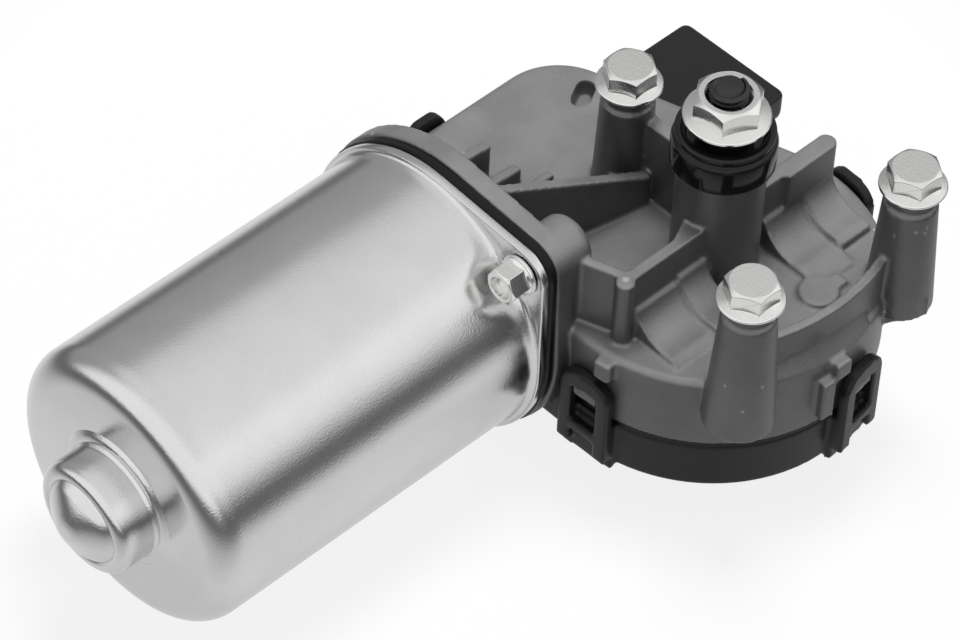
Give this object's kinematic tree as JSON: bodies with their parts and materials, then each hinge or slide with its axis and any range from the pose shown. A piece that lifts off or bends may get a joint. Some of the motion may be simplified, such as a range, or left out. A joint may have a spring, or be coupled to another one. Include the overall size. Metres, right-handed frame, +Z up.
{
  "type": "wiper motor",
  "caption": "Wiper motor: round motor can on a die-cast worm gear housing with bolt bosses, upright output shaft with nut, clipped cover and flat connector.",
  "frame": {"origin": "on the output shaft's axis, in the plane of the gear cover's flat underside", "axes": "+Z up along the output shaft to its threaded end, +X along the motor shaft from the can to the worm, +Y to the side of the output shaft where the motor lies"},
  "size_m": [0.1881, 0.1112, 0.0908],
  "materials": {
    "cast_aluminium": "as cast, matt with a fine grain",
    "black_plastic": "moulded, satin",
    "black_rubber": "matt",
    "drawn_steel": "zinc plated, smooth satin",
    "plated_steel": "zinc plated",
    "bright_steel": "ground",
    "laminated_steel": "stacked sheets, lacquered",
    "copper": "bare or lacquered copper",
    "brass": "stamped",
    "sintered_bronze": "sintered, oiled",
    "ferrite": "sintered, dull",
    "carbon": "pressed carbon and copper",
    "felt": "oiled felt",
    "white_plastic": "moulded acetal",
    "circuit_breaker_case": "moulded"
  },
  "bodies": {
    "housing": {"gear_housing": "cast_aluminium", "gear_cover": "black_plastic", "cover_seal": "black_rubber", "connector_housing": "black_plastic", "connector_pins": "brass", "park_contacts": "copper", "lower_bush": "sintered_bronze", "upper_bush": "sintered_bronze", "shaft_seal": "black_rubber", "shaft_cap": "black_rubber", "front_bush": "sintered_bronze", "end_play_screw": "plated_steel", "bearing_outer_ring": "bright_steel", "motor_gasket": "black_rubber", "motor_can": "drawn_steel", "can_screws": "plated_steel", "field_magnets": "ferrite", "rear_bearing": "sintered_bronze", "felt_ring": "felt", "bearing_retainer": "bright_steel", "thrust_pad": "white_plastic", "brush_plate": "black_plastic", "brush_holders": "brass", "carbon_brushes": "carbon", "brush_springs": "plated_steel", "choke_cores": "ferrite", "choke_coils": "copper", "circuit_breaker": "circuit_breaker_case", "mounting_bolts": "plated_steel"},
    "armature": {"armature_shaft": "bright_steel", "armature_core": "laminated_steel", "armature_windings": "copper", "commutator": "copper", "bearing_inner_ring": "bright_steel", "bearing_balls": "bright_steel"},
    "output": {"worm_wheel": "white_plastic", "wheel_hub": "bright_steel", "park_disc": "copper", "thrust_washer": "bright_steel", "output_shaft": "bright_steel", "retaining_ring": "bright_steel", "shaft_nut": "plated_steel"}
  },
  "joints": [
    {"name": "armature_spin", "type": "hinge", "parent": "housing", "child": "armature", "pos_m": [0, 0.0385, 0.0226], "axis": [1, 0, 0], "continuous": true},
    {"name": "output_spin", "type": "hinge", "parent": "housing", "child": "output", "pos_m": [0, 0, 0], "axis": [0, 0, 1], "continuous": true}
  ],
  "couplings": [
    {"joint": "output_spin", "follows": "armature_spin", "ratio": 0.015152}
  ]
}
